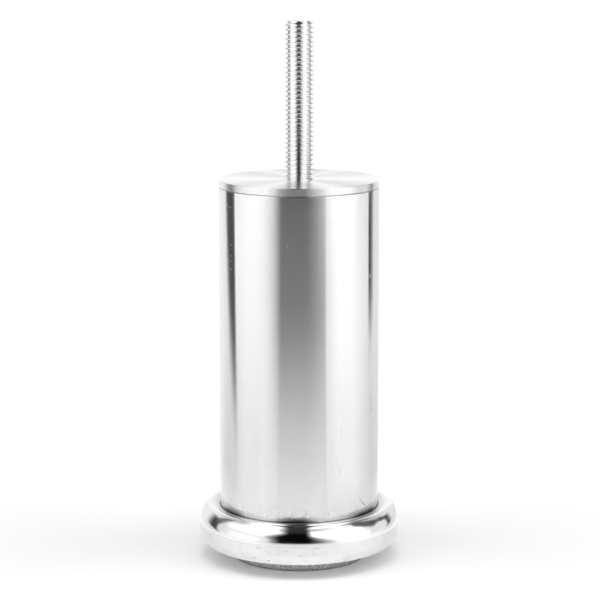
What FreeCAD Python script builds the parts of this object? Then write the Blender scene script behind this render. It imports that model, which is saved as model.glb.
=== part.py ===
import FreeCAD, Part
import os
import Sketcher

# Furniture foot, in millimetres, +Z up, origin on the floor under the middle of the pad.
# A round tube stands on a turned base and is capped by a tapped plate. One long threaded
# rod joins them: a nut in the base's socket pulls plate and base together on the tube, and
# the rod's free end is the stud that screws into the furniture.
# The thread is drawn smooth. Where it stands free it is as wide as its crests. Inside the
# nut and the plate, rod and tapped hole are both drawn at the pitch diameter, so that they
# meet face to face and each keeps its true volume.

# Driving sizes: cell name, value, what it measures.
SIZES = (
    ("body_height", 100.0, "underside of the base to the top of the plate"),
    ("pad_diameter", 36.0, "felt pad across"),
    ("pad_proud", 3.5, "felt that stands out below the base"),
    ("pad_recess", 1.5, "felt that is let into the base"),
    ("pad_clearance", 0.2, "gap between pad and recess, all round"),
    ("pad_edge", 0.4, "chamfer on the pad's lower edge"),
    ("tube_diameter", 43.0, "tube and plate across"),
    ("tube_wall", 2.0, "wall of the tube"),
    ("tube_edge", 0.2, "chamfer on the tube's outer ends"),
    ("base_overhang", 5.6, "base beyond the tube, all round"),
    ("seat_height", 10.8, "underside of the base to the flat that the tube stands on"),
    ("dish_slope", 8.5, "slope of the dish that falls to the seat all round, in degrees"),
    ("lip_round", 1.4, "radius of the lip between dish and bead"),
    ("bead_round", 7.6, "radius of the bead between lip and upright band"),
    ("bead_turn", 38.0, "how far the bead leans inwards where the lip starts, in degrees"),
    ("heel_round", 3.6, "rounding of the base's lower edge"),
    ("spigot_clearance", 0.15, "gap between each spigot and the tube's bore, all round"),
    ("spigot_edge", 0.5, "chamfer that leads each spigot into the tube"),
    ("base_web", 5.0, "metal between the base's socket and its top"),
    ("socket_diameter", 20.0, "socket in the base for nut, washer and wrench"),
    ("rod_clearance", 0.25, "gap between rod and clearance holes, all round"),
    ("plate_rim", 2.0, "edge of the plate that shows above the tube"),
    ("plate_edge", 0.2, "chamfer on the plate's rim"),
    ("plate_spigot", 5.0, "spigot under the plate"),
    ("thread_diameter", 7.9, "over the crests of the M8 thread"),
    ("thread_depth", 0.35, "from the crests to the pitch line"),
    ("countersink_lip", 0.1, "mouths of the tapped holes beyond the crests, all round"),
    ("stud_reach", 42.0, "stud above the plate"),
    ("stud_chamfer", 0.8, "chamfer on both ends of the rod"),
    ("rod_tail", 1.5, "rod beyond the nut"),
    ("tail_room", 0.6, "air between the rod's tail and the pad"),
    ("nut_flats", 13.0, "nut across the flats"),
    ("nut_height", 6.5, "nut along the rod"),
    ("nut_face_step", 0.3, "nut's bearing circle inside its flats"),
    ("nut_bevel", 30.0, "slope of the nut's bevelled corners, in degrees"),
    ("washer_diameter", 16.0, "washer across"),
    ("washer_thickness", 1.6, "washer"),
)

# Sizes that follow: cell name, formula, what it measures.
FOLLOWING = (
    ("pad_thickness", "=pad_proud + pad_recess", "whole pad"),
    ("recess_diameter", "=pad_diameter + 2 * pad_clearance", "recess that takes the pad"),
    ("base_radius", "=tube_diameter / 2 + base_overhang", "base's full radius"),
    ("bead_inset", "=bead_round * (1 - cos(bead_turn))", "bead's inner end from the full radius"),
    ("bead_rise", "=bead_round * sin(bead_turn)", "bead's inner end above the upright band"),
    ("lip_inset", "=lip_round * (cos(bead_turn) + sin(dish_slope))", "lip across"),
    ("lip_rise", "=lip_round * (cos(dish_slope) - sin(bead_turn))", "lip's inner end over the other"),
    ("bead_end_radius", "=base_radius - bead_inset", "where the bead runs into the lip"),
    ("dish_radius", "=bead_end_radius - lip_inset", "where the lip runs into the dish"),
    ("dish_width", "=dish_radius - tube_diameter / 2", "dish between lip and tube"),
    ("dish_height", "=seat_height + dish_width * tan(dish_slope)", "dish's outer end"),
    ("bead_end_height", "=dish_height - lip_rise", "bead's inner end above the underside"),
    ("shoulder_height", "=bead_end_height - bead_rise", "top of the upright band"),
    ("spigot_diameter", "=tube_diameter - 2 * (tube_wall + spigot_clearance)", "both spigots"),
    ("socket_depth", "=tail_room + rod_tail + nut_height + washer_thickness", "above the pad"),
    ("base_height", "=pad_recess + socket_depth + base_web", "underside to spigot's top"),
    ("rod_hole", "=thread_diameter + 2 * rod_clearance", "holes that the rod passes freely"),
    ("seat_level", "=pad_proud + seat_height", "foot of the tube above the floor"),
    ("plate_level", "=pad_proud + body_height - plate_rim", "top of the tube above the floor"),
    ("tube_length", "=plate_level - seat_level", "tube between seat and plate"),
    ("pitch_diameter", "=thread_diameter - 2 * thread_depth", "thread inside nut and plate"),
    ("countersink", "=thread_depth + countersink_lip", "chamfer on a tapped hole's mouths"),
    ("rod_level", "=pad_thickness + tail_room", "rod's tail above the floor"),
    ("rod_in_plate", "=plate_level - plate_spigot - rod_level", "rod below the plate"),
    ("rod_in_air", "=plate_level + plate_rim - rod_level", "rod up to the top of the plate"),
    ("rod_length", "=rod_in_air + stud_reach", "whole rod"),
    ("nut_level", "=rod_level + rod_tail", "nut above the floor"),
    ("washer_level", "=nut_level + nut_height", "washer above the floor"),
    ("nut_reach", "=nut_flats / 2 / cos(30) + nut_face_step", "just beyond the nut's corners"),
    ("nut_face_radius", "=nut_flats / 2 - nut_face_step", "nut's bearing circle"),
    ("nut_bevel_drop", "=(nut_reach - nut_face_radius) * tan(nut_bevel)", "bevel at that reach"),
)

# A sketch counts its own two axes downwards from -1, with its origin at the start of the
# first, and counts the points of a line, arc or circle upwards from 1.
HORIZONTAL_AXIS, VERTICAL_AXIS = range(-1, -3, -1)
START, END, CENTRE = range(1, 4)

doc = FreeCAD.newDocument("furniture_foot")
sheet = doc.addObject("Spreadsheet::Sheet", "Sizes")
for row, (alias, content, meaning) in enumerate(SIZES + FOLLOWING, start=1):
    sheet.set(f"A{row}", meaning)
    sheet.set(f"B{row}", str(content))
    sheet.setAlias(f"B{row}", alias)
doc.recompute()


def measure(expression):
    """Present value of an expression over the sheet's cells."""
    return float(sheet.evalExpression(expression))


def new_body(label, level="0"):
    """Body for one piece, lifted to its level above the floor."""
    body = doc.addObject("PartDesign::Body", label)
    body.Label = label
    body.setExpression("Placement.Base.z", level)
    return body


def new_sketch(body, name, plane, offset="0"):
    """Sketch on one of the body's own origin planes, moved along that plane's normal."""
    sketch = body.newObject("Sketcher::SketchObject", name)
    support = [item for item in body.Origin.OriginFeatures if item.Role == plane]
    sketch.AttachmentSupport = [(support[0], "")]
    sketch.MapMode = "FlatFace"
    sketch.setExpression("AttachmentOffset.Base.z", offset)
    return sketch


def constrain(sketch, kind, *elements, size=None):
    """Constraint on the sketch, with its value bound to an expression if it has one."""
    if size is None:
        sketch.addConstraint(Sketcher.Constraint(kind, *elements))
        return
    index = sketch.addConstraint(Sketcher.Constraint(kind, *elements, measure(size)))
    sketch.setExpression(f"Constraints[{index}]", size)


def draw_circle(sketch, diameter):
    """Circle about the sketch's origin. Returns its number."""
    shape = Part.Circle(FreeCAD.Vector(), FreeCAD.Vector(0, 0, 1), measure(diameter) / 2)
    circle = sketch.addGeometry(shape, False)
    constrain(sketch, "Coincident", circle, CENTRE, HORIZONTAL_AXIS, START)
    constrain(sketch, "Diameter", circle, size=diameter)
    return circle


def left_arc(start, end, radius):
    """Short arc of a radius that bends to the left on its way from start to end.

    Its centre stands off the middle of the chord, square to it and on its left.
    """
    chord = end - start
    left = FreeCAD.Vector(-chord.y, chord.x, 0).normalize()
    stand_off = (radius**2 - (chord.Length / 2) ** 2) ** 0.5
    circle = Part.Circle(start + chord / 2 + left * stand_off, FreeCAD.Vector(0, 0, 1), radius)
    return Part.ArcOfCircle(circle, circle.parameter(start), circle.parameter(end))


def draw_outline(sketch, corners, arcs=()):
    """Closed outline through corners, each a pair of expressions: across and up.

    Side number n runs from corner n to the next one. Sides are straight, apart from those
    in arcs: pairs of a side's number and the radius at which it bends to the left.
    """
    radii = dict(arcs)
    points = [FreeCAD.Vector(measure(across), measure(up), 0) for across, up in corners]
    ends = points[1:] + points[:1]
    sides = []
    for number, (start, end) in enumerate(zip(points, ends)):
        if number in radii:
            shape = left_arc(start, end, measure(radii[number]))
        else:
            shape = Part.LineSegment(start, end)
        sides.append(sketch.addGeometry(shape, False))
    for number, (side, following) in enumerate(zip(sides, sides[1:] + sides[:1])):
        across, up = corners[number]
        constrain(sketch, "Coincident", side, END, following, START)
        if across == "0":
            constrain(sketch, "PointOnObject", side, START, VERTICAL_AXIS)
        else:
            constrain(sketch, "DistanceX", HORIZONTAL_AXIS, START, side, START, size=across)
        if up == "0":
            constrain(sketch, "PointOnObject", side, START, HORIZONTAL_AXIS)
        else:
            constrain(sketch, "DistanceY", HORIZONTAL_AXIS, START, side, START, size=up)
        if number in radii:
            constrain(sketch, "Radius", side, size=radii[number])


def pad(body, sketch, name, length):
    """Sketch pushed up by a length."""
    feature = body.newObject("PartDesign::Pad", name)
    feature.Profile = sketch
    feature.setExpression("Length", length)
    doc.recompute()
    return feature


def revolve(body, sketch, name, kind="PartDesign::Revolution"):
    """Sketch turned once round its own upright axis, added or, as a groove, cut away."""
    feature = body.newObject(kind, name)
    feature.Profile = sketch
    feature.ReferenceAxis = (sketch, ["V_Axis"])
    feature.Angle = 360
    doc.recompute()
    return feature


def pocket_upwards(body, sketch, name, depth):
    """Sketch cut upwards into the body by a depth."""
    feature = body.newObject("PartDesign::Pocket", name)
    feature.Profile = sketch
    feature.Reversed = True
    feature.setExpression("Length", depth)
    doc.recompute()
    return feature


def hole_upwards(body, sketch, name, diameter):
    """Hole that runs up through the whole body, centred on the sketch's circle."""
    feature = body.newObject("PartDesign::Hole", name)
    feature.Profile = sketch
    feature.Reversed = True
    feature.Threaded = False
    feature.setExpression("Diameter", diameter)
    feature.DepthType = "ThroughAll"
    return feature


def rims(feature, *places):
    """Names of the feature's round edges at places given as diameter and height in the body."""
    names = []
    for diameter, height in places:
        radius, level = measure(diameter) / 2, measure(height)
        for number, edge in enumerate(feature.Shape.Edges, start=1):
            if edge.Curve.TypeId != "Part::GeomCircle":
                continue
            if abs(edge.Curve.Radius - radius) < 1e-6 and abs(edge.Curve.Center.z - level) < 1e-6:
                names.append(f"Edge{number}")
    return names


def dress(body, feature, kind, name, size, *places):
    """Chamfer or fillet of one size on the feature's round edges at those places."""
    dressing = body.newObject("PartDesign::" + kind, name)
    dressing.Base = (feature, rims(feature, *places))
    dressing.setExpression("Size" if kind == "Chamfer" else "Radius", size)
    doc.recompute()
    return dressing


def make_felt_pad():
    """Felt disc that the foot stands on, let into the base."""
    body = new_body("felt_pad")
    outline = new_sketch(body, "PadOutline", "XY_Plane")
    draw_circle(outline, "Sizes.pad_diameter")
    disc = pad(body, outline, "PadDisc", "Sizes.pad_thickness")
    dress(body, disc, "Chamfer", "PadEdge", "Sizes.pad_edge", ("Sizes.pad_diameter", "0"))
    return body


def make_foot_base():
    """Turned base.

    From the floor up its section has a rounded heel, an upright band, a bead that leans
    inwards to a tight lip, a shallow dish that falls to the seat, the flat seat under the
    tube, and the spigot in the tube's bore. Band, bead, lip and dish run into each other
    without a corner. Underneath are the pad's recess and the stepped hole for washer, nut
    and rod.
    """
    body = new_body("foot_base", "Sizes.pad_proud")
    section = new_sketch(body, "BaseSection", "XZ_Plane")
    corners = (
        ("0", "0"),
        ("Sizes.base_radius", "0"),
        ("Sizes.base_radius", "Sizes.shoulder_height"),
        ("Sizes.bead_end_radius", "Sizes.bead_end_height"),
        ("Sizes.dish_radius", "Sizes.dish_height"),
        ("Sizes.tube_diameter / 2", "Sizes.seat_height"),
        ("Sizes.spigot_diameter / 2", "Sizes.seat_height"),
        ("Sizes.spigot_diameter / 2", "Sizes.base_height"),
        ("0", "Sizes.base_height"),
    )
    bead, lip = (2, "Sizes.bead_round"), (3, "Sizes.lip_round")
    draw_outline(section, corners, arcs=(bead, lip))
    turned = revolve(body, section, "BaseTurned")
    full_diameter = "2 * Sizes.base_radius"
    heel = dress(body, turned, "Fillet", "BaseHeel", "Sizes.heel_round", (full_diameter, "0"))
    lead = ("Sizes.spigot_diameter", "Sizes.base_height")
    dress(body, heel, "Chamfer", "SpigotLead", "Sizes.spigot_edge", lead)
    recess = new_sketch(body, "RecessOutline", "XY_Plane")
    draw_circle(recess, "Sizes.recess_diameter")
    pocket_upwards(body, recess, "PadRecess", "Sizes.pad_recess")
    bore = new_sketch(body, "RodHoleCentre", "XY_Plane", "Sizes.pad_recess")
    draw_circle(bore, "Sizes.rod_hole")
    hole = hole_upwards(body, bore, "RodHole", "Sizes.rod_hole")
    hole.HoleCutType = "Counterbore"
    hole.HoleCutCustomValues = True
    hole.setExpression("HoleCutDiameter", "Sizes.socket_diameter")
    hole.setExpression("HoleCutDepth", "Sizes.socket_depth")
    doc.recompute()
    return body


def make_leg_tube():
    """Round tube between the base's seat and the plate, its outer ends chamfered."""
    body = new_body("leg_tube", "Sizes.seat_level")
    outline = new_sketch(body, "TubeOutline", "XY_Plane")
    draw_circle(outline, "Sizes.tube_diameter")
    draw_circle(outline, "Sizes.tube_diameter - 2 * Sizes.tube_wall")
    tube = pad(body, outline, "TubeLength", "Sizes.tube_length")
    ends = (("Sizes.tube_diameter", "0"), ("Sizes.tube_diameter", "Sizes.tube_length"))
    dress(body, tube, "Chamfer", "TubeEnds", "Sizes.tube_edge", *ends)
    return body


def make_top_plate():
    """Turned plate: rim flush with the tube, spigot in its bore, tapped and countersunk."""
    body = new_body("top_plate", "Sizes.plate_level")
    section = new_sketch(body, "PlateSection", "XZ_Plane")
    corners = (
        ("0", "-Sizes.plate_spigot"),
        ("Sizes.spigot_diameter / 2", "-Sizes.plate_spigot"),
        ("Sizes.spigot_diameter / 2", "0"),
        ("Sizes.tube_diameter / 2", "0"),
        ("Sizes.tube_diameter / 2", "Sizes.plate_rim"),
        ("0", "Sizes.plate_rim"),
    )
    draw_outline(section, corners)
    turned = revolve(body, section, "PlateTurned")
    rim = (("Sizes.tube_diameter", "0"), ("Sizes.tube_diameter", "Sizes.plate_rim"))
    rim_dressed = dress(body, turned, "Chamfer", "PlateRim", "Sizes.plate_edge", *rim)
    lead = ("Sizes.spigot_diameter", "-Sizes.plate_spigot")
    dress(body, rim_dressed, "Chamfer", "PlateLead", "Sizes.spigot_edge", lead)
    centre = new_sketch(body, "TappedHoleCentre", "XY_Plane", "-Sizes.plate_spigot")
    draw_circle(centre, "Sizes.pitch_diameter")
    hole = hole_upwards(body, centre, "TappedHole", "Sizes.pitch_diameter")
    doc.recompute()
    mouths = (
        ("Sizes.pitch_diameter", "-Sizes.plate_spigot"),
        ("Sizes.pitch_diameter", "Sizes.plate_rim"),
    )
    dress(body, hole, "Chamfer", "PlateCountersinks", "Sizes.countersink", *mouths)
    return body


def make_threaded_rod():
    """Threaded rod from its tail below the nut to the stud's tip, both ends chamfered."""
    body = new_body("threaded_rod", "Sizes.rod_level")
    section = new_sketch(body, "RodSection", "XZ_Plane")
    crest = "Sizes.thread_diameter / 2"
    pitch = "Sizes.pitch_diameter / 2"
    nut_foot = "Sizes.rod_tail"
    nut_top = "Sizes.rod_tail + Sizes.nut_height"
    corners = (
        ("0", "0"),
        (crest, "0"),
        (crest, nut_foot),
        (pitch, nut_foot),
        (pitch, nut_top),
        (crest, nut_top),
        (crest, "Sizes.rod_in_plate"),
        (pitch, "Sizes.rod_in_plate"),
        (pitch, "Sizes.rod_in_air"),
        (crest, "Sizes.rod_in_air"),
        (crest, "Sizes.rod_length"),
        ("0", "Sizes.rod_length"),
    )
    draw_outline(section, corners)
    rod = revolve(body, section, "RodTurned")
    ends = (("Sizes.thread_diameter", "0"), ("Sizes.thread_diameter", "Sizes.rod_length"))
    dress(body, rod, "Chamfer", "RodEnds", "Sizes.stud_chamfer", *ends)
    return body


def make_clamp_washer():
    """Flat washer under the socket's ceiling."""
    body = new_body("clamp_washer", "Sizes.washer_level")
    outline = new_sketch(body, "WasherOutline", "XY_Plane")
    draw_circle(outline, "Sizes.washer_diameter")
    draw_circle(outline, "Sizes.rod_hole")
    pad(body, outline, "WasherDisc", "Sizes.washer_thickness")
    return body


def draw_hexagon(sketch, flats):
    """Regular hexagon whose sides touch a construction circle, two of them upright."""
    circle = draw_circle(sketch, flats)
    sketch.setConstruction(circle, True)
    corner = FreeCAD.Vector(measure(flats) / 2, -measure(flats) / 2 * measure("tan(30)"), 0)
    turn = FreeCAD.Rotation(FreeCAD.Vector(0, 0, 1), 60)
    sides = []
    for _ in range(6):
        end = turn.multVec(corner)
        sides.append(sketch.addGeometry(Part.LineSegment(corner, end), False))
        corner = end
    for side, following in zip(sides, sides[1:] + sides[:1]):
        constrain(sketch, "Coincident", side, END, following, START)
        constrain(sketch, "Tangent", side, circle)
    for side in sides[1:]:
        constrain(sketch, "Equal", sides[0], side)
    constrain(sketch, "Vertical", sides[0])


def make_clamp_nut():
    """Hexagon nut, with the corners of both faces bevelled by a turned cut."""
    body = new_body("clamp_nut", "Sizes.nut_level")
    outline = new_sketch(body, "NutOutline", "XY_Plane")
    draw_hexagon(outline, "Sizes.nut_flats")
    draw_circle(outline, "Sizes.pitch_diameter")
    blank = pad(body, outline, "NutBlank", "Sizes.nut_height")
    mouths = (("Sizes.pitch_diameter", "0"), ("Sizes.pitch_diameter", "Sizes.nut_height"))
    dress(body, blank, "Chamfer", "NutCountersinks", "Sizes.countersink", *mouths)
    bevels = new_sketch(body, "NutBevelSection", "XZ_Plane")
    lower = (
        ("Sizes.nut_face_radius", "0"),
        ("Sizes.nut_reach", "0"),
        ("Sizes.nut_reach", "Sizes.nut_bevel_drop"),
    )
    upper = (
        ("Sizes.nut_face_radius", "Sizes.nut_height"),
        ("Sizes.nut_reach", "Sizes.nut_height"),
        ("Sizes.nut_reach", "Sizes.nut_height - Sizes.nut_bevel_drop"),
    )
    draw_outline(bevels, lower)
    draw_outline(bevels, upper)
    revolve(body, bevels, "NutBevels", "PartDesign::Groove")
    return body


def check_document():
    """Stops if a feature has failed, a sketch is loose or a cut took nothing away."""
    for item in doc.Objects:
        if "Invalid" in item.State or "Error" in item.State:
            raise RuntimeError(f"{item.Name} failed: {item.State}")
        if item.isDerivedFrom("Sketcher::SketchObject") and not item.FullyConstrained:
            raise RuntimeError(f"{item.Name} is not fully constrained")
        if item.TypeId in ("PartDesign::Pocket", "PartDesign::Hole", "PartDesign::Groove"):
            if item.Shape.Volume >= item.BaseFeature.Shape.Volume:
                raise RuntimeError(f"{item.Name} cuts nothing")


pieces = (
    make_felt_pad(),
    make_foot_base(),
    make_leg_tube(),
    make_top_plate(),
    make_threaded_rod(),
    make_clamp_washer(),
    make_clamp_nut(),
)
doc.recompute()
check_document()

os.makedirs("parts", exist_ok=True)
for piece in pieces:
    solid = piece.Shape
    if solid.isNull() or not solid.isValid() or len(solid.Solids) != 1:
        raise RuntimeError(f"{piece.Label} is not one sound solid")
    solid.exportStep(f"parts/{piece.Label}.step")
    print(f"{piece.Label}: {solid.Volume:.1f} mm3, {solid.optimalBoundingBox()}")
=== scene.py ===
"""Looks of a turned aluminium furniture foot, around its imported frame.

Every visible piece is worked out here as a surface: tube, plate, base and felt are sections
turned round the upright axis, and the stud is one long screw surface. Shapes are written in
millimetres and put into the meshes in metres. Azimuths are counted in degrees round the foot
from its front, positive to the right, and the front is the side that the camera looks at.

The parts of this script are: surfaces (how a section becomes a mesh), pieces, fields (maths
on shader nodes), materials, and the studio with the room that the metal mirrors.
"""
import math

import bpy
import numpy as np
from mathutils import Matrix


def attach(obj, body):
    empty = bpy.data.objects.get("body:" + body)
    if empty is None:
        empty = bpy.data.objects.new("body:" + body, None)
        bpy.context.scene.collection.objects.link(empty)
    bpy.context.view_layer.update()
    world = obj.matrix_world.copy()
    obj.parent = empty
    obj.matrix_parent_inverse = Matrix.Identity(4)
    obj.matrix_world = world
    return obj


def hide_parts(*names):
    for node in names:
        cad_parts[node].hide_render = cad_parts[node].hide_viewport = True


MM = 0.001

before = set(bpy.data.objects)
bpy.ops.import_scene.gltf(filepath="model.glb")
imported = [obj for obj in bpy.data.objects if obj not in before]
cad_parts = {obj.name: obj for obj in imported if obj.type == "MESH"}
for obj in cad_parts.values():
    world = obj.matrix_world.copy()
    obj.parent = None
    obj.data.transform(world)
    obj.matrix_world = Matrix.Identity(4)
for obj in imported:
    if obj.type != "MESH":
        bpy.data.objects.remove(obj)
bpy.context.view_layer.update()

scene = bpy.context.scene
scene.view_settings.view_transform = "Standard"

# Sizes in millimetres, the same as the solids have: radii, and levels above the floor.
TUBE_RADIUS = 21.5
TUBE_BORE = 19.5
SPIGOT_RADIUS = 19.35
PAD_RADIUS = 18.0
BASE_LEVEL = 3.5
RECESS_TOP = 5.0
SEAT_LEVEL = 14.3
PLATE_LEVEL = 101.5
PLATE_TOP = 103.5
STUD_TOP = 145.5
ROD_LEVEL = 5.6

# M8 coarse thread, its crests worn to just under 7.9 mm across.
THREAD_PITCH = 1.25
THREAD_CREST = 3.93
FLANK_ANGLE = 60.0

# Camera fitted to the photograph: focal length and width in its pixels, the place in
# metres, and the pitch in degrees below level.
FOCAL_PIXELS = 2327.0
PHOTO_PIXELS = 600.0
CAMERA_PLACE = (0.00024, -0.6179, 0.1819)
CAMERA_PITCH = 10.218
SENSOR_WIDTH = 36.0

# Light from all round, as a share of full white. The lamps give the rest: azimuth,
# elevation, share of full white that the floor gets, and how many degrees wide.
AMBIENT = 0.38
LAMPS = {
    "soft_lamp_above": (0.0, 78.0, 0.33, 34.0),
    "soft_lamp_right": (78.0, 48.0, 0.17, 40.0),
    "soft_lamp_left": (-74.0, 52.0, 0.15, 40.0),
}

# Half width of the floor and its level, just below the felt. What its colour takes from
# full white comes back as a glow that only background rays see.
FLOOR_HALF = 6000.0
FLOOR_LEVEL = -0.02
FLOOR_COLOUR = 0.86
FLOOR_GLOW = 0.14

# The mirrored room: radius of its dome and half width of the shades on its floor.
ROOM_RADIUS = 900.0
SHADE_HALF = 2000.0


# ---------------------------------------------------------------- surfaces


def straight(start, end, rings):
    """Straight run of a section: points from start to end, with its right-hand normal."""
    start, end = np.array(start, float), np.array(end, float)
    share = np.linspace(0.0, 1.0, rings)[:, None]
    along = (end - start) / np.linalg.norm(end - start)
    normal = np.array([along[1], -along[0]])
    return np.hstack([start + share * (end - start), np.repeat(normal[None], rings, 0)])


def bend(centre, radius, start, end, rings):
    """Arc of a section: centre + radius * (cos a, sin a), a from start to end in degrees.

    Its normal points away from the centre when the arc turns left, towards it otherwise.
    """
    angle = np.radians(np.linspace(start, end, rings))
    ray = np.stack([np.cos(angle), np.sin(angle)], 1)
    return np.hstack([np.array(centre, float) + radius * ray, ray * (1 if end > start else -1)])


def rounded(corners, radii, closed, rings=6, longest=4.0):
    """Section through corners, each rounded by an arc of its radius.

    At a corner where the section turns by t, the arc of radius r starts and ends
    r * tan(t / 2) away from the corner. Straight runs get a point each few millimetres.
    """
    corners = [np.array(corner, float) for corner in corners]
    runs = []
    before = None
    count = len(corners)
    first_end = None
    for number, corner in enumerate(corners):
        if closed or 0 < number < count - 1:
            into = corner - corners[number - 1]
            out = corners[(number + 1) % count] - corner
            into, out = into / np.linalg.norm(into), out / np.linalg.norm(out)
            turn = math.atan2(into[0] * out[1] - into[1] * out[0], into @ out)
            cut = radii[number] * abs(math.tan(turn / 2))
            start, end = corner - into * cut, corner + out * cut
            side = np.array([-into[1], into[0]]) * math.copysign(1.0, turn)
            centre = start + side * radii[number]
            angle = math.degrees(math.atan2(*(start - centre)[::-1]))
            arc = bend(centre, radii[number], angle, angle + math.degrees(turn), rings)
        else:
            start = end = corner
            arc = None
        if before is None:
            first_end = start
        else:
            length = np.linalg.norm(start - before)
            runs.append(straight(before, start, 3 + int(length / longest)))
        if arc is not None:
            runs.append(arc)
        before = end
    if closed:
        length = np.linalg.norm(first_end - before)
        runs.append(straight(before, first_end, 3 + int(length / longest)))
    return np.vstack(runs)


def merged(section, closed):
    """Section without the points that its runs share."""
    step = np.linalg.norm(np.diff(section[:, :2], axis=0), axis=1)
    section = section[np.concatenate([[True], step > 1e-7])]
    if closed and np.linalg.norm(section[0, :2] - section[-1, :2]) < 1e-7:
        section = section[:-1]
    return section


def fade(value, low, high):
    """Smooth step from 0 at low to 1 at high; low may be the greater one."""
    share = np.clip((value - low) / (high - low), 0.0, 1.0)
    return share * share * (3.0 - 2.0 * share)


def tipped(normals, degrees):
    """Section normals turned upwards, each by its own angle."""
    cosine, sine = np.cos(np.radians(degrees)), np.sin(np.radians(degrees))
    across, up = normals.T
    return np.stack([across * cosine - up * sine, across * sine + up * cosine], 1)


def grid_faces(rows, columns, wrap_rows):
    """Quads of a grid whose columns close up, and whose rows may."""
    row = np.arange(rows if wrap_rows else rows - 1)[:, None]
    column = np.arange(columns)[None, :]
    near, far = row * columns, (row + 1) % rows * columns
    side = (column + 1) % columns
    quads = [near + column, near + side, far + side, far + column]
    whole = [np.broadcast_to(quad, (len(row), columns)) for quad in quads]
    return np.stack(whole, -1).reshape(-1, 4)


def add_mesh(name, points, faces, normals=None):
    """Object at the origin with this mesh, from points in millimetres.

    Without normals for its points, it is shaded by those of its faces.
    """
    mesh = bpy.data.meshes.new(name)
    mesh.from_pydata((points * MM).tolist(), [], faces)
    mesh.update()
    mesh.shade_smooth()
    if normals is not None:
        mesh.normals_split_custom_set_from_vertices(normals.tolist())
    thing = bpy.data.objects.new(name, mesh)
    scene.collection.objects.link(thing)
    return thing


def turned(name, section, closed, segments):
    """Section turned round the upright axis: (r cos a, r sin a, z), a once round.

    An open section starts and ends on the axis, where its ring shrinks to one point.
    """
    section = merged(section, closed)
    angle = np.linspace(0.0, 2 * np.pi, segments, endpoint=False)
    ring = np.stack([np.cos(angle), np.sin(angle)], -1)
    body = section if closed else section[1:-1]

    def swept(pairs):
        """Pairs of a radial and an upright number, carried round as vectors."""
        upright = np.broadcast_to(pairs[:, None, 1:], (len(pairs), segments, 1))
        return np.concatenate([pairs[:, None, :1] * ring[None], upright], -1).reshape(-1, 3)

    points, normals = swept(body[:, :2]), swept(body[:, 2:])
    faces = grid_faces(len(body), segments, closed).tolist()
    if not closed:
        low, high = len(points), len(points) + 1
        points = np.vstack([points, [0, 0, section[0, 1]], [0, 0, section[-1, 1]]])
        normals = np.vstack([normals, [0, 0, -1], [0, 0, 1]])
        here = np.arange(segments)
        there = (here + 1) % segments
        last = (len(body) - 1) * segments
        faces += np.stack([np.full(segments, low), there, here], 1).tolist()
        faces += np.stack([last + here, last + there, np.full(segments, high)], 1).tolist()
    return add_mesh(name, points, faces, normals)


def thread_radius(level, angle):
    """Radius of a right-hand M8 thread at a level and an angle round the axis, in mm.

    With u the share of a pitch from the nearest crest's middle, 0 to 0.5, the radius stays
    at the crest up to u = flat, and falls from there by a depth d of (u - flat) * pitch *
    tan 60. The crest's edge is softened by sqrt(d * d + edge * edge) - edge, and the groove
    ends in a rounded root by the soft minimum root - b * ln(1 + e^((root - d) / b)).
    """
    flat, edge, root, blend = 0.075, 0.05, 0.70, 0.07
    share = (level / THREAD_PITCH - angle / (2 * np.pi)) % 1.0
    share = np.minimum(share, 1.0 - share)
    depth = (share - flat) * THREAD_PITCH * math.tan(math.radians(FLANK_ANGLE))
    depth = np.where(depth > 0, np.sqrt(depth**2 + edge**2) - edge, 0.0)
    bottom = root - np.log1p(np.exp((root - depth) / blend)) * blend
    return THREAD_CREST - np.maximum(bottom, 0.0)


def threaded_rod(low, high, chamfer, columns=64, rows_per_pitch=12):
    """Rod along one screw surface: rows follow the thread, clipped level at both ends.

    A point's level is the lower end, plus the pitch times the turns that its row and its
    angle make, held between both ends. Its radius is the lesser of the thread's and that of
    the end chamfer's cone. A flat disc of triangles round the axis closes each end.
    """
    angle = np.linspace(0.0, 2 * np.pi, columns, endpoint=False)
    rows = int((high - low) / THREAD_PITCH * rows_per_pitch) + 2 * rows_per_pitch
    lead = np.arange(rows)[:, None] / rows_per_pitch - 1.0
    level = np.clip(low + (lead + angle[None] / (2 * np.pi)) * THREAD_PITCH, low, high)
    cone = THREAD_CREST - chamfer + np.minimum(level - low, high - level)
    radius = np.minimum(thread_radius(level, angle[None]), cone)
    points = np.stack([radius * np.cos(angle), radius * np.sin(angle), level], -1).reshape(-1, 3)
    row = np.arange(rows - 1)[:, None] * columns
    column = np.arange(columns)[None]
    here = row + column
    # Round once, a row has risen by one pitch, so its last column meets the next turn's row.
    side = np.where(column + 1 < columns, here + 1, row + rows_per_pitch * columns)
    faces = np.stack([here, side, side + columns, here + columns], -1).reshape(-1, 4)
    faces = faces[(faces < len(points)).all(1)]
    bottom, top = len(points), len(points) + 1
    points = np.vstack([points, [0, 0, low], [0, 0, high]])
    first = np.arange(columns)
    following = (first + 1) % columns
    last = (rows - 1) * columns
    bottom, top = np.full(columns, bottom), np.full(columns, top)
    low_disc = np.stack([bottom, following, first, first], 1)
    high_disc = np.stack([last + first, last + following, top, top], 1)
    return points, np.vstack([faces, low_disc, high_disc])


def cleaned(name, points, faces):
    """Mesh whose coinciding points are joined and whose collapsed faces are left out.

    A corner goes where it is the same as the one before it in its quad. A quad that keeps
    three corners is a triangle, and one that keeps fewer goes.
    """
    places, back = np.unique(np.round(points, 5), axis=0, return_inverse=True)
    quads = back.reshape(-1)[faces]
    kept = quads != np.roll(quads, 1, axis=1)
    count = kept.sum(1)
    triangles = quads[count == 3][kept[count == 3]].reshape(-1, 3)
    return add_mesh(name, places, quads[count == 4].tolist() + triangles.tolist())


# ---------------------------------------------------------------- pieces


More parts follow.
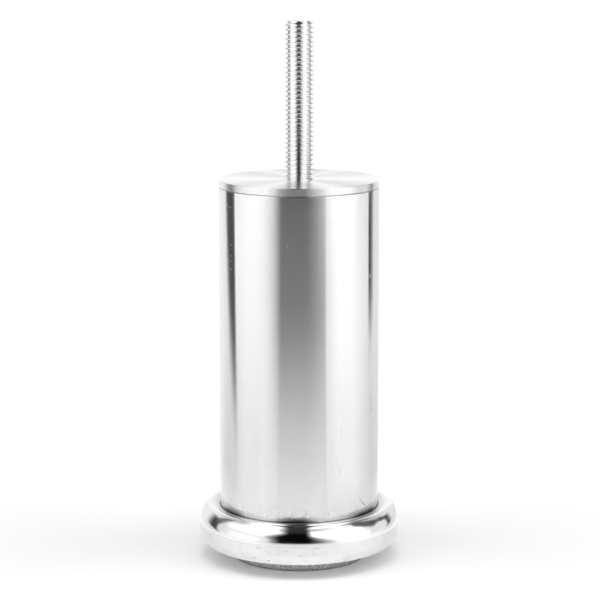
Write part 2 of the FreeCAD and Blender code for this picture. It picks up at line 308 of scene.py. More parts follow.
def make_tube():
    """Tube: a rectangle in section, with small rounded edges inside and out."""
    inner, outer = 0.1, 0.18
    corners = [
        (TUBE_BORE, SEAT_LEVEL),
        (TUBE_RADIUS, SEAT_LEVEL),
        (TUBE_RADIUS, PLATE_LEVEL),
        (TUBE_BORE, PLATE_LEVEL),
    ]
    section = rounded(corners, (inner, outer, outer, inner), closed=True)
    return turned("polished_tube", section, closed=True, segments=384)


def make_plate():
    """Plate with its spigot and countersunk hole, the rim's edges just broken."""
    low = PLATE_LEVEL - 5.0
    hole, countersink = 3.6, 0.45
    sharp, broken, lead_in, inside = 0.05, 0.15, 0.4, 0.04
    corners = [
        (hole + countersink, low),
        (SPIGOT_RADIUS, low),
        (SPIGOT_RADIUS, PLATE_LEVEL),
        (TUBE_RADIUS, PLATE_LEVEL),
        (TUBE_RADIUS, PLATE_TOP),
        (hole + countersink, PLATE_TOP),
        (hole, PLATE_TOP - countersink),
        (hole, low + countersink),
    ]
    radii = (sharp, lead_in, sharp, broken, broken, inside, inside, inside)
    return turned("turned_plate", rounded(corners, radii, closed=True), closed=True, segments=384)


def make_base():
    """Base: heel, band, bead, lip, dish, seat and spigot, with recess and socket below.

    Bead and lip are arcs of radii R and r that run into each other at a turn T, so the
    lip's centre lies (R - r) * (cos T, sin T) from the bead's. The dish leaves the lip
    along its tangent and falls to the seat. Polishing has rubbed the bead's lower end and
    the heel's lower edge soft, so their normals tip upwards from those of the true arcs.
    """
    outer, heel, bead, lip = 27.1, 3.6, 7.6, 1.4
    turn, slope = 38.0, 8.5
    spigot_top, hole, socket, socket_top, recess = 20.2, 4.2, 10.0, 15.2, 18.2
    bead_rub, heel_rub = 2.2, 34.0
    sharp, broken, lead_in = 0.05, 0.15, 0.4
    lean = np.array([math.cos(math.radians(turn)), math.sin(math.radians(turn))])
    fall = np.array([-math.sin(math.radians(slope)), math.cos(math.radians(slope))])
    edge = outer - bead + ((bead - lip) * lean + lip * fall)[0]
    edge_level = SEAT_LEVEL + (edge - TUBE_RADIUS) * math.tan(math.radians(slope))
    shoulder = edge_level - ((bead - lip) * lean + lip * fall)[1]
    centre = np.array([outer - bead, shoulder])
    runs = [
        bend((outer - heel, BASE_LEVEL + heel), heel, -90.0, 0.0, 28),
        straight((outer, BASE_LEVEL + heel), (outer, shoulder), 4),
        bend(centre, bead, 0.0, turn, 48),
        bend(centre + (bead - lip) * lean, lip, turn, 90.0 + slope, 40),
        straight((edge, edge_level), (TUBE_RADIUS, SEAT_LEVEL), 8),
    ]
    skin = np.vstack(runs)
    level = skin[:, 1]
    rub = bead_rub * fade(level, 8.7, 10.1) * fade(level, 12.4, 10.6)
    rub += heel_rub * fade(level, 5.5, 4.2) * fade(level, 3.52, 3.75)
    skin[:, 2:] = tipped(skin[:, 2:], rub)
    corners = [
        (TUBE_RADIUS, SEAT_LEVEL),
        (SPIGOT_RADIUS, SEAT_LEVEL),
        (SPIGOT_RADIUS, spigot_top),
        (hole, spigot_top),
        (hole, socket_top),
        (socket, socket_top),
        (socket, RECESS_TOP),
        (recess, RECESS_TOP),
        (recess, BASE_LEVEL),
        (outer - heel, BASE_LEVEL),
    ]
    radii = (0, sharp, lead_in, sharp, sharp, sharp, broken, sharp, broken, 0)
    inside = rounded(corners, radii, closed=False)
    return turned("turned_base", np.vstack([skin, inside]), closed=True, segments=384)


def make_pad():
    """Felt disc, straight in its recess, whose side bulges a little between base and floor.

    The side is an arc through both ends of the open height 2 h. A bulge of b gives it the
    radius (h * h + b * b) / (2 * b). Low down a smaller arc rounds it towards the floor.
    """
    half, bulge, edge = 1.7, 0.45, 0.2
    top = 2 * half
    radius = (half**2 + bulge**2) / (2 * bulge)
    reach = math.degrees(math.asin(half / radius))
    start = -0.86 * reach
    side = bend((PAD_RADIUS + bulge - radius, top - half), radius, start, reach, 18)
    across, level = side[0, :2]
    buried = [(PAD_RADIUS, top), (PAD_RADIUS, RECESS_TOP), (0, RECESS_TOP)]
    runs = [
        straight((0, 0), (across - edge, 0), 40),
        bend((across - edge, level), level, -90.0, start, 8),
        side,
        rounded(buried, (0, edge, 0), closed=False, longest=0.5),
    ]
    return turned("felt_disc", np.vstack(runs), closed=False, segments=480)


pieces = {
    "leg_tube": make_tube(),
    "top_plate": make_plate(),
    "foot_base": make_base(),
    "felt_pad": make_pad(),
    "threaded_rod": cleaned("cut_thread", *threaded_rod(ROD_LEVEL, STUD_TOP, 0.8)),
}


# ---------------------------------------------------------------- fields


class Field:
    """Number worked out by nodes, which adds, subtracts and multiplies like a plain one."""

    def __init__(self, tree, socket):
        self.tree = tree
        self.socket = socket

    def feed(self, place):
        """Link this field to a node's input."""
        self.tree.links.new(self.socket, place)

    def combine(self, operation, first, second):
        """Field of one maths node on two fields or plain numbers."""
        node = self.tree.nodes.new("ShaderNodeMath")
        node.operation = operation
        feed_all(node.inputs, (first, second))
        return Field(self.tree, node.outputs[0])

    def __add__(self, other):
        return self.combine("ADD", self, other)

    def __radd__(self, other):
        return self.combine("ADD", other, self)

    def __sub__(self, other):
        return self.combine("SUBTRACT", self, other)

    def __rsub__(self, other):
        return self.combine("SUBTRACT", other, self)

    def __mul__(self, other):
        return self.combine("MULTIPLY", self, other)

    def __truediv__(self, other):
        return self.combine("DIVIDE", self, other)

    def __rtruediv__(self, other):
        return self.combine("DIVIDE", other, self)

    def __pow__(self, other):
        return self.combine("POWER", self, other)

    def greater(self, other):
        """The greater of two."""
        return self.combine("MAXIMUM", self, other)

    def share(self, low, high, kind="LINEAR"):
        """Share of the way from low to high, held between 0 and 1."""
        node = self.tree.nodes.new("ShaderNodeMapRange")
        node.interpolation_type = kind
        node.inputs["From Min"].default_value = low
        node.inputs["From Max"].default_value = high
        self.feed(node.inputs["Value"])
        return Field(self.tree, node.outputs["Result"])

    def smooth(self, low, high):
        """Smooth step from 0 at low to 1 at high; low may be the greater one."""
        if low > high:
            return 1.0 - self.share(high, low, "SMOOTHSTEP")
        return self.share(low, high, "SMOOTHSTEP")

    def window(self, rise, fall):
        """1 between two fades, 0 outside: it rises over one pair and falls over the other."""
        return self.smooth(*rise) * self.smooth(*fall[::-1])

    def painted(self, over, level):
        """Level laid over another field, where this one is 1."""
        return over + self * (level - over)


def feed_all(places, values):
    """Feed inputs with fields or plain numbers, in order."""
    for place, value in zip(places, values):
        if isinstance(value, Field):
            value.feed(place)
        else:
            place.default_value = value


def place_on(tree):
    """Object coordinates in millimetres, as three fields."""
    parts = tree.nodes.new("ShaderNodeSeparateXYZ")
    tree.links.new(tree.nodes.new("ShaderNodeTexCoord").outputs["Object"], parts.inputs[0])
    return [Field(tree, socket) * (1.0 / MM) for socket in parts.outputs]


def azimuth_of(x, y):
    """Degrees round the foot from its front, positive to the right."""
    return x.combine("ARCTAN2", x, 0.0 - y) * (180.0 / math.pi)


def distance_of(x, y):
    """Distance from the axis."""
    return (x * x + y * y) ** 0.5


# ---------------------------------------------------------------- materials


def new_material(name):
    """Material with a Principled surface. Returns the material, its tree and the shader."""
    material = bpy.data.materials.new(name)
    material.use_nodes = True
    tree = material.node_tree
    return material, tree, tree.nodes["Principled BSDF"]


def new_group(name, inputs, outputs):
    """Shader group with number sockets, the first three for a place in millimetres.

    Returns the group, its inputs as fields and the node that takes its outputs.
    """
    group = bpy.data.node_groups.new(name, "ShaderNodeTree")
    for label in ("X", "Y", "Z") + inputs:
        group.interface.new_socket(label, in_out="INPUT", socket_type="NodeSocketFloat")
    for label in outputs:
        group.interface.new_socket(label, in_out="OUTPUT", socket_type="NodeSocketFloat")
    start, end = group.nodes.new("NodeGroupInput"), group.nodes.new("NodeGroupOutput")
    return group, [Field(group, socket) for socket in start.outputs if socket.name], end


def use_group(group, fields, values):
    """Outputs of a group laid into a material, fed with fields and plain numbers."""
    tree = fields[0].tree
    node = tree.nodes.new("ShaderNodeGroup")
    node.node_tree = group
    feed_all(node.inputs, (*fields, *values))
    return [Field(tree, socket) for socket in node.outputs]


def vector_of(tree, x, y, z):
    """Vector socket made of three fields or plain numbers."""
    node = tree.nodes.new("ShaderNodeCombineXYZ")
    feed_all(node.inputs, (x, y, z))
    return node.outputs[0]


def noise(tree, vector, scale, detail, roughness, fourth=None):
    """Soft noise between 0 and 1, with a fourth coordinate if one is given."""
    node = tree.nodes.new("ShaderNodeTexNoise")
    node.inputs["Scale"].default_value = scale
    node.inputs["Detail"].default_value = detail
    node.inputs["Roughness"].default_value = roughness
    tree.links.new(vector, node.inputs["Vector"])
    if fourth is not None:
        node.noise_dimensions = "4D"
        fourth.feed(node.inputs["W"])
    return Field(tree, node.outputs["Fac"])


def build_lathe_lines():
    """Fine lines that run round the axis, as turning and polishing leave them.

    Noise is read at the direction from the axis, times Length, and at height and radius,
    times Fineness in lines per mm, so that it changes slowly round and fast across.
    """
    names = ("Fineness", "Length")
    group, (x, y, z, fineness, length), end = new_group("lathe_lines", names, ("Lines",))
    away = distance_of(x, y)
    round_it = length / away.greater(0.01)
    place = vector_of(group, x * round_it, y * round_it, z * fineness)
    noise(group, place, 1.0, 3.0, 0.6, away * fineness).feed(end.inputs["Lines"])
    return group


def build_nicks():
    """Small marks, stretched round the axis: 1 inside a mark, 0 outside.

    Cells are Stretch times longer round the axis than across. The middle of a cell holds a
    mark if the cell's own random number is below Share.
    """
    names = ("Size", "Stretch", "Share")
    group, (x, y, z, size, stretch, share), end = new_group("nicks", names, ("Mask",))
    wide = 1.0 / (size * stretch)
    cells = group.nodes.new("ShaderNodeTexVoronoi")
    cells.inputs["Scale"].default_value = 1.0
    group.links.new(vector_of(group, x * wide, y * wide, z / size), cells.inputs["Vector"])
    pick = group.nodes.new("ShaderNodeSeparateColor")
    group.links.new(cells.outputs["Color"], pick.inputs[0])
    chosen = share.combine("GREATER_THAN", share, Field(group, pick.outputs[0]))
    reach = Field(group, pick.outputs[1]) * 0.25 + 0.12
    inside = (Field(group, cells.outputs["Distance"]) / reach).smooth(1.0, 0.6)
    (inside * chosen).feed(end.inputs["Mask"])
    return group


def build_stains():
    """Cloudy film and small speckles: two masks between 0 and 1."""
    group, (x, y, z, size), end = new_group("stains", ("Size",), ("Film", "Speckles"))
    place = vector_of(group, x / size, y / size, z / size)
    noise(group, place, 1.0, 4.0, 0.55).smooth(0.35, 0.75).feed(end.inputs["Film"])
    noise(group, place, 5.0, 3.0, 0.7).smooth(0.50, 0.64).feed(end.inputs["Speckles"])
    return group


lathe_lines = build_lathe_lines()
nicks = build_nicks()
stains = build_stains()


def stroke(first, second, start, end, core, reach):
    """1 within the core's half width of the line from start to end, fading over the reach."""
    run = (end[0] - start[0], end[1] - start[1])
    along = ((first - start[0]) * run[0] + (second - start[1]) * run[1]) / (run[0]**2 + run[1]**2)
    along = along.share(0.0, 1.0)
    across = first - start[0] - along * run[0]
    up = second - start[1] - along * run[1]
    return ((across * across + up * up) ** 0.5).smooth(core + reach, core)


def set_surface(tree, shader, grey, rough, height, distance):
    """Surface of a grey and a roughness, bumped by a height whose 0 to 1 is a distance in mm."""
    colour = tree.nodes.new("ShaderNodeCombineColor")
    feed_all(colour.inputs, (grey, grey, grey))
    tree.links.new(colour.outputs[0], shader.inputs["Base Color"])
    rough.feed(shader.inputs["Roughness"])
    bump = tree.nodes.new("ShaderNodeBump")
    bump.inputs["Strength"].default_value = 1.0
    bump.inputs["Distance"].default_value = distance * MM
    height.feed(bump.inputs["Height"])
    tree.links.new(bump.outputs["Normal"], shader.inputs["Normal"])


def lathe_finish(tree, shader, anisotropy):
    """Bare metal whose reflections are smeared square to lines that run round the axis."""
    tangent = tree.nodes.new("ShaderNodeTangent")
    tangent.direction_type = "RADIAL"
    tangent.axis = "Z"
    tree.links.new(tangent.outputs[0], shader.inputs["Tangent"])
    shader.inputs["Anisotropic"].default_value = anisotropy
    shader.inputs["Anisotropic Rotation"].default_value = 0.25
    shader.inputs["Metallic"].default_value = 1.0


# Marks on the tube: strength, then both ends, each by its azimuth and its height in mm.
TUBE_MARKS = (
    (0.8, (-8.1, 89.2), (-8.1, 87.8)),
    (0.6, (63.8, 46.4), (64.0, 41.5)),
    (0.22, (31.3, 39.5), (31.3, 37.5)),
    (0.22, (29.8, 28.6), (29.8, 26.4)),
    (0.9, (60.7, 79.2), (60.8, 78.5)),
    (0.35, (48.1, 19.8), (52.0, 17.6)),
    (0.5, (52.0, 17.6), (55.3, 16.8)),
)

# Marks on the base's band and bead, in the same form.
BASE_MARKS = (
    (0.45, (-24.5, 8.6), (-21.5, 8.3)),
    (0.7, (-18.1, 5.2), (-17.2, 5.1)),
    (0.5, (-26.8, 5.6), (-26.0, 5.5)),
    (0.8, (-63.2, 11.4), (-62.6, 10.6)),
    (0.9, (-116.5, 12.6), (-113.5, 13.2)),
    (0.4, (8.0, 8.9), (11.0, 8.9)),
)

# Painted shade just above the seam at the tube's foot: dark reflections, in the same form.
FOOT_SHADE_STROKES = (
    (0.95, (-9.0, 14.1), (2.0, 14.1)),
    (0.6, (-62.0, 14.6), (-52.0, 14.5)),
    (0.65, (53.0, 14.5), (63.0, 14.7)),
)


def marks_of(azimuth, z, marks, core=0.05, reach=0.22, degree=0.4):
    """Highest of the listed marks, each with this half width and soft edge in millimetres.

    A degree counts as so many millimetres; the fewer, the longer the ends fade round the foot.
    """
    total = None
    for strength, start, end in marks:
        start, end = (start[0] * degree, start[1]), (end[0] * degree, end[1])
        mark = stroke(azimuth * degree, z, start, end, core, reach) * strength
        total = mark if total is None else total.greater(mark)
    return total


def polished_tube():
    """Bright drawn tube, polished round: fine lines, a few scratches, grime at its foot, and
    painted shade low down and just above the seam.
    """
    material, tree, shader = new_material("polished_aluminium_tube")
    x, y, z = place = place_on(tree)
    azimuth = azimuth_of(x, y)
    aside = azimuth * azimuth
    lines, = use_group(lathe_lines, place, (3.0, 5.0))
    pits, = use_group(nicks, place, (0.8, 1.2, 0.35))
    film, speckles = use_group(stains, place, (2.4,))
    foot = z.smooth(20.5, 15.0)
    joint = z.smooth(14.6, 14.4) * (aside.smooth(18.0**2, 48.0**2) * 0.4 + 0.25)
    grime = foot * (speckles * 0.30 + film * 0.10) + joint
    top = z.smooth(74.0, 90.0) * pits * azimuth.window((-68.0, -64.0), (-57.0, -53.0))
    marks = marks_of(azimuth, z, TUBE_MARKS)
    worn = (marks + top + grime).share(0.0, 1.0)
    # Painted shade: dark strokes just above the seam at the tube's foot stand in for dark
    # reflections there; the seam under the plate is a dark joint line.
    foot_shade = marks_of(azimuth, z, FOOT_SHADE_STROKES, 0.15, 1.05, 0.09) * 0.85
    seam = z.smooth(101.25, 101.4) * 0.35 + foot_shade
    # Painted shade: darker low down towards the sides and near the foot at the right, for the
    # shaded floor that the tube mirrors.
    painted_shade = z.smooth(72.0, 28.0) * aside.smooth(9.0**2, 24.0**2) * 0.12
    painted_shade = painted_shade + z.smooth(26.0, 18.0) * azimuth.smooth(14.0, 34.0) * 0.07
    grey = (0.968 - worn * 0.42 - film * 0.012 - seam - painted_shade).greater(0.03)
    rough = 0.09 + lines * 0.02 + film * 0.015 + worn * 0.5 + z.smooth(16.2, 14.8) * 0.2
    set_surface(tree, shader, grey, rough, lines * 0.3 + worn, 0.004)
    lathe_finish(tree, shader, 0.9)
    return material


def polished_base():
    """Turned and polished base: nicked band, bright bead, duller dish round the tube, with
    painted shade on the dish and at the band's sides.
    """
    material, tree, shader = new_material("polished_aluminium_base")
    x, y, z = place = place_on(tree)
    azimuth, away = azimuth_of(x, y), distance_of(x, y)
    aside = azimuth * azimuth
    lines, = use_group(lathe_lines, place, (2.2, 4.0))
    dashes, = use_group(nicks, place, (0.35, 11.0, 0.22))
    film, speckles = use_group(stains, place, (3.0,))
    top = z.smooth(13.5, 14.0)
    dish = away.smooth(24.6, 23.6) * top
    joint = away.smooth(21.85, 21.7) * (aside.smooth(18.0**2, 48.0**2) * 0.35 + 0.25)
    # Painted shade over the dish, from 24.2 mm in to the tube and strongest at the front, stands
    # in for dark reflections.
    under = azimuth.window((-26.0, -12.0), (6.0, 18.0)) * 0.3 + 0.22
    seam = top * (joint + away.smooth(24.2, 22.0) * under)
    band = z.smooth(9.75, 9.35)
    marks = marks_of(azimuth, z, BASE_MARKS)
    scuffs = band * dashes * 0.3 + band * film * 0.12
    worn = (marks + scuffs + dish * (0.12 + speckles * 0.2)).share(0.0, 1.0)
    # Painted shade: the band darker towards its sides.
    sides = aside.smooth(12.0**2, 34.0**2) * 0.09 + aside.smooth(38.0**2, 62.0**2) * 0.05
    grey = 0.962 - worn * 0.35 - seam - band * (sides + (lines - 0.45) * 0.10)
    rough = 0.075 + lines * 0.02 + band * 0.05 + worn * 0.35 + dish * 0.20
    set_surface(tree, shader, grey, rough, lines * (0.25 + band * 0.5) + worn * 0.6, 0.004)
    lathe_finish(tree, shader, 0.8)
    return material


def turned_face():
    """Plate faced on a lathe: fine grooves, faint rays, a satin rim."""
    material, tree, shader = new_material("turned_aluminium")
    x, y, z = place = place_on(tree)
    away = distance_of(x, y)
    lines, = use_group(lathe_lines, place, (4.0, 2.0))
    fine, = use_group(lathe_lines, place, (11.0, 1.0))
    film, speckles = use_group(stains, place, (3.5,))
    centre = away.greater(0.5)
    rays = noise(tree, vector_of(tree, x / centre, y / centre, 0.0), 7.0, 3.0, 0.65) - 0.5
    rim = away.smooth(21.2, 21.35)
    seam = rim * z.smooth(101.75, 101.6) * 0.3
    grey = 0.98 - film * 0.01 - (lines - 0.5) * 0.02 - rays * 0.04 - seam - speckles * rim * 0.04
    rough = 0.27 + fine * 0.02 + rays * 0.04
    set_surface(tree, shader, grey, rough, lines * 0.6 + fine * 0.4, 0.003)
    lathe_finish(tree, shader, 1.0)
    return material


def zinc_steel():
    """Rolled steel thread under bright zinc, greyer down in its roots."""
    material, tree, shader = new_material("zinc_steel")
    place = place_on(tree)
    film, speckles = use_group(stains, place, (0.8,))
    root = distance_of(*place[:2]).smooth(3.75, 3.30)
    grey = 0.99 - root * 0.04 - film * 0.02 - speckles * 0.03
    rough = 0.06 + root * 0.04 + film * 0.03 + speckles * 0.04
    set_surface(tree, shader, grey, rough, film * 0.5 + speckles * 0.5, 0.004)
    shader.inputs["Metallic"].default_value = 1.0
    return material


def pressed_felt():
    """Grey pressed wool: light and dark fibres, a darker lower edge."""
    material, tree, shader = new_material("grey_felt")
    x, y, z = place = place_on(tree)
    film = use_group(stains, place, (1.1,))[0]
    fibres = noise(tree, vector_of(tree, x, y, z * 0.8), 1.9, 5.0, 0.8)
    fine = noise(tree, vector_of(tree, x, y, z), 4.5, 3.0, 0.8)
    light = fibres.smooth(0.50, 0.62)
    grey = 0.72 + (fibres - 0.5) * 1.5 + light * 0.30 + (fine - 0.5) * 1.2
    grey = (grey * (1.0 - z.smooth(0.9, 0.1) * 0.4)).greater(0.10)
    rough = 0.9 + film * 0.1
    set_surface(tree, shader, grey, rough, fibres * 0.7 + fine * 0.3, 0.35)
    shader.inputs["Sheen Weight"].default_value = 0.25
    shader.inputs["Sheen Roughness"].default_value = 0.5
    shader.inputs["Specular IOR Level"].default_value = 0.2
    return material


steel = zinc_steel()
for node, material, slot in (
    ("leg_tube", polished_tube(), "polished_aluminium"),
    ("top_plate", turned_face(), "turned_aluminium"),
    ("foot_base", polished_base(), "polished_aluminium"),
    ("felt_pad", pressed_felt(), "felt"),
    ("threaded_rod", steel, "zinc_steel"),
):
    piece = pieces[node]
    piece.data.materials.append(material)
    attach(piece, "root")
    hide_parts(node)
for node in ("clamp_nut", "clamp_washer"):
    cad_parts[node].data.materials.clear()
    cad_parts[node].data.materials.append(steel)


# ---------------------------------------------------------------- studio


def make_camera():
    """Camera at the photograph's angle, 0.62 m in front of the foot and 0.18 m up."""
    data = bpy.data.cameras.new("camera")
    data.sensor_width = SENSOR_WIDTH
    data.lens = FOCAL_PIXELS / PHOTO_PIXELS * SENSOR_WIDTH
    data.clip_start = 0.01
    camera = bpy.data.objects.new("camera", data)
    camera.location = CAMERA_PLACE
    camera.rotation_euler = (math.radians(90.0 - CAMERA_PITCH), 0.0, 0.0)
    scene.collection.objects.link(camera)
    scene.camera = camera


def background_rays(tree):
    """1 for the rays that show a background: camera, glossy and transmission rays."""
    path = tree.nodes.new("ShaderNodeLightPath")
    kinds = ("Is Camera Ray", "Is Glossy Ray", "Is Transmission Ray")
    camera, glossy, through = [Field(tree, path.outputs[kind]) for kind in kinds]
    return camera.greater(glossy).greater(through)


def level_square(name, half, level):
    """Level square round the axis, by its half width and its level above the floor."""
    corners = np.array([(-1, -1, 0), (1, -1, 0), (1, 1, 0), (-1, 1, 0)])
    return add_mesh(name, corners * half + (0, 0, level), [(0, 1, 2, 3)])


def make_floor():
    """Wide white floor that keeps the foot's shadow, a hair below the felt."""
    floor = level_square("floor", FLOOR_HALF, FLOOR_LEVEL)
    material, tree, shader = new_material("white_floor")
    shader.inputs["Base Color"].default_value = (FLOOR_COLOUR, FLOOR_COLOUR, FLOOR_COLOUR, 1)
    shader.inputs["Roughness"].default_value = 1.0
    shader.inputs["Specular IOR Level"].default_value = 0.0
    shader.inputs["Emission Color"].default_value = (1, 1, 1, 1)
    (background_rays(tree) * FLOOR_GLOW).feed(shader.inputs["Emission Strength"])
    floor.data.materials.append(material)


def make_world():
    """White background, and even light of less strength from all round."""
    world = bpy.data.worlds.new("white_room")
    world.use_nodes = True
    tree = world.node_tree
    shader = tree.nodes["Background"]
    shader.inputs["Color"].default_value = (1, 1, 1, 1)
    strength = background_rays(tree) * (1.0 - AMBIENT) + AMBIENT
    strength.feed(shader.inputs["Strength"])
    scene.world = world


def make_lamp(name, azimuth, elevation, share, softness):
    """Far soft lamp, so many degrees wide, that gives the floor a share of full white light."""
    data = bpy.data.lights.new(name, "SUN")
    data.energy = share * math.pi / math.sin(math.radians(elevation))
    data.angle = math.radians(softness)
    lamp = bpy.data.objects.new(name, data)
    lamp.rotation_euler = (math.radians(90.0 - elevation), 0.0, math.radians(azimuth))
    lamp.visible_glossy = False
    scene.collection.objects.link(lamp)


def bare_material(name):
    """Material without a shader yet. Returns it, its tree and the input for its surface."""
    material = bpy.data.materials.new(name)
    material.use_nodes = True
    tree = material.node_tree
    tree.nodes.clear()
    return material, tree, tree.nodes.new("ShaderNodeOutputMaterial").inputs["Surface"]


def only_in_metal(card):
    """Card that shows in metal only, so that it lights and hides nothing else."""
    card.visible_camera = False
    card.visible_diffuse = False
    card.visible_shadow = False
    card.visible_transmission = False
    card.visible_volume_scatter = False


# Walls, soft boxes and shades of the room round the foot: brightness, the azimuths and then
# the elevations over which each fades in and out, and how strongly it covers those before it.
# Azimuths end at 180 either way and elevations at 90, so a fade set beyond never comes.
ROOM = {
    "left_wall": (0.74, (-112, -104), (-101, -68), (-5, -2), (20, 30), 1.0),
    "front_left_wall": (0.76, (-54, -40), (-30, -24), (-5, -2), (10, 18), 0.8),
    "right_wall": (0.79, (84, 92), (150, 170), (-5, -2), (44, 60), 1.0),
    "back_left_wall": (0.87, (-172, -160), (-112, -104), (-5, -2), (44, 60), 1.0),
    "back_left": (0.95, (-400, -390), (-166, -150), (9, 14), (62, 78), 1.0),
    "back_right": (0.95, (150, 166), (390, 400), (9, 14), (62, 78), 1.0),
    "left_softbox": (1.3, (-100, -88), (-22, -10), (12, 26), (200, 210), 1.0),
    "right_softbox": (1.3, (8, 14), (80, 85), (-2, 8), (200, 210), 1.0),
    "bright_top": (1.3, (-400, -390), (390, 400), (53, 61), (200, 210), 1.0),
    "overhead": (0.45, (-120, -100), (100, 120), (60, 80), (200, 210), 1.0),
    "left_beam": (0.53, (-165, -140), (-90, -66), (27, 42), (54, 61), 1.0),
    "right_grey": (0.50, (82, 92), (112, 165), (20, 30), (52, 60), 0.95),
    "right_beam": (0.19, (50, 84), (136, 156), (36, 46), (53.5, 61.5), 0.9),
    "right_top_gap": (0.30, (2, 12), (14, 75), (38, 44), (48, 55), 0.85),
    "left_gap": (0.045, (-137, -118), (-110.5, -103.5), (-5, -2), (17, 27), 0.98),
    "right_gap": (0.06, (118.5, 124.5), (126, 139.5), (-5, -2), (12, 17), 0.94),
}

# Darker strokes across them: brightness, both ends as azimuth and elevation, the half width
# of the core, how far it fades beyond, and how strongly it covers.
STROKES = {
    "left_lean": (0.13, (-110.5, 19), (-104.5, 36), 2.0, 9.0, 0.9),
    "right_bend": (0.07, (126, 13), (117, 19), 1.5, 5.0, 0.9),
    "right_lean": (0.08, (116, 19), (101, 25), 2.0, 5.0, 0.9),
    "right_knot": (0.075, (98, 24), (83, 37), 5.0, 7.5, 0.93),
}


def front_gap(azimuth, elevation, sideways):
    """Dark gap between the soft boxes, from the floor in front to overhead.

    Its sides fade as squares of the distance from its core. It is widest low down on the
    right, and overhead it is an even slot between two sideways places.
    """
    core = 10.0 - elevation.smooth(14.0, 26.0) * 2.5
    reach = 38.0 - elevation.smooth(3.0, 26.0) * 29.0
    right = ((azimuth - core) / reach).share(0.0, 1.0)
    risen = elevation.smooth(10.0, 16.0)
    narrow = elevation.window((30.0, 35.0), (37.0, 42.0))
    core = 20.0 + risen * 2.0 - elevation.smooth(18.0, 32.0) * 11.0
    reach = 17.0 + risen * 4.0 - narrow * 8.0
    left = ((0.0 - azimuth - core) / reach).share(0.0, 1.0)
    column = 1.0 - (left * left).greater(right * right)
    slot = sideways.smooth(-0.32, -0.155) * sideways.smooth(0.25, 0.105)
    return elevation.smooth(48.0, 60.0).painted(column, slot)


def make_room(rows=40, columns=96):
    """Dome of soft boxes, walls and gaps that the metal mirrors.

    Its points lie at radius * (cos e sin a, -cos e cos a, sin e), with elevation e from just
    below the floor to near the top, where triangles close it, and azimuth a once round.
    """
    turn = np.radians(np.linspace(0.0, 360.0, columns, endpoint=False))[None]
    rise = np.radians(np.linspace(-1.5, 89.0, rows))[:, None]
    across, up = np.cos(rise), np.broadcast_to(np.sin(rise), (rows, columns))
    points = np.stack([across * np.sin(turn), -across * np.cos(turn), up], -1).reshape(-1, 3)
    points = np.vstack([points, [0, 0, 1]]) * ROOM_RADIUS
    ring = np.arange(columns)
    last, top = (rows - 1) * columns, np.full(columns, rows * columns)
    cap = np.stack([last + ring, last + (ring + 1) % columns, top], 1).tolist()
    dome = add_mesh("room", points, grid_faces(rows, columns, False).tolist() + cap)
    material, tree, surface = bare_material("room")
    x, y, z = place_on(tree)
    azimuth = azimuth_of(x, y)
    elevation = z.combine("ARCTAN2", z, distance_of(x, y)) * (180.0 / math.pi)
    level = elevation.smooth(14.0, 10.0) * 0.36 + 0.82
    for brightness, rise, fall, low, high, strength in ROOM.values():
        mask = azimuth.window(rise, fall) * elevation.window(low, high) * strength
        level = mask.painted(level, brightness)
    for brightness, start, end, core, fade, strength in STROKES.values():
        mask = stroke(azimuth, elevation, start, end, core, fade) * strength
        level = mask.painted(level, brightness)
    dark = 0.002 + elevation.smooth(28.0, 46.0) * 0.030 + elevation.smooth(60.0, 84.0) * 0.027
    level = front_gap(azimuth, elevation, x / ROOM_RADIUS).painted(level, dark)
    glow = tree.nodes.new("ShaderNodeEmission")
    level.feed(glow.inputs["Strength"])
    tree.links.new(glow.outputs[0], surface)
    dome.data.materials.append(material)
    only_in_metal(dome)


def make_shade(name, brightness, level, mask_of):
    """Shade of a brightness, a level in mm above the floor, where mask_of(x, y) says."""
    shade = level_square(name, SHADE_HALF, level)
    material, tree, surface = bare_material(name)
    glow = tree.nodes.new("ShaderNodeEmission")
    glow.inputs["Color"].default_value = (brightness, brightness, brightness, 1)
    clear = tree.nodes.new("ShaderNodeBsdfTransparent")
    mix = tree.nodes.new("ShaderNodeMixShader")
    mask_of(*place_on(tree)[:2]).feed(mix.inputs[0])
    tree.links.new(clear.outputs[0], mix.inputs[1])
    tree.links.new(glow.outputs[0], mix.inputs[2])
    tree.links.new(mix.outputs[0], surface)
    shade.data.materials.append(material)
    only_in_metal(shade)


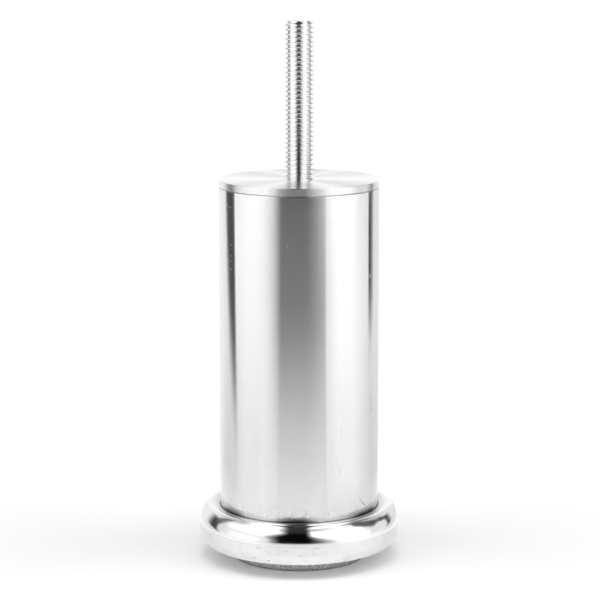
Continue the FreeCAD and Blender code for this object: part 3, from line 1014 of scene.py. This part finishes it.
def front_shade(x, y):
    """Darker with the distance, fading leftwards, with a sharp edge and a fringe at the right."""
    azimuth, away = azimuth_of(x, y), distance_of(x, y)
    far = away.smooth(450.0, 760.0)
    weaker = azimuth.share(5.0, 35.0) ** 1.8 * (far * 0.2 + 0.25)
    core = (1.0 - weaker) * azimuth.smooth(40.0, 35.5)
    fringe = azimuth.share(58.0, 36.0) ** 1.5 * (0.42 - far * 0.3)
    return away.share(-18.0, 372.0) * azimuth.share(-72.0, -25.5) ** 2.6 * core.greater(fringe)


def left_shade(x, y):
    """Dark beyond a slanting line at the left and behind, grey up to it and nearer the foot.

    Ahead counts square to a line from the axis towards 107 degrees left, and the dark ends
    36 mm ahead of it. Aside counts towards 47 degrees left, square to the slanting line. A
    fainter grey goes on where the dark has ended.
    """
    azimuth, away = azimuth_of(x, y), distance_of(x, y)
    ahead = x * -0.292 - y * 0.956
    aside = x * -0.735 - y * 0.678
    edge = ahead.smooth(56.0, 16.0) * azimuth.smooth(-60.0, -90.0)
    beyond = aside.smooth(80.0, 172.0) * 0.72
    near = away.smooth(60.0, 120.0) * (azimuth.smooth(-150.0, -118.0) * 0.13 + 0.12)
    grey = azimuth.window((-150.0, -100.0), (-62.0, -44.0)) * 0.08
    grey = grey + azimuth.share(-80.0, -102.0) * 0.13
    faint = grey * away.smooth(60.0, 100.0) * (away.smooth(620.0, 300.0) * 0.8 + 0.2)
    return ((beyond + near) * edge).greater(faint)


def right_shade(x, y):
    """Grey at the right, and dark from a sharp edge that fades backwards."""
    azimuth, away = azimuth_of(x, y), distance_of(x, y)
    grey = azimuth.share(80.0, 118.0) * azimuth.smooth(200.0, 140.0)
    grey = grey * away.smooth(60.0, 110.0) * 0.27
    fading = azimuth.smooth(136.0, 122.0) * 0.5 + azimuth.share(160.0, 120.0) ** 1.5 * 0.5
    return grey.greater(away.smooth(210.0, 470.0) * azimuth.smooth(115.0, 117.5) * fading)


make_camera()
make_world()
make_floor()
for name, values in LAMPS.items():
    make_lamp(name, *values)
make_room()
make_shade("front_shade", 0.185, 0.3, front_shade)
make_shade("left_shade", 0.04, 0.4, left_shade)
make_shade("right_shade", 0.04, 0.5, right_shade)
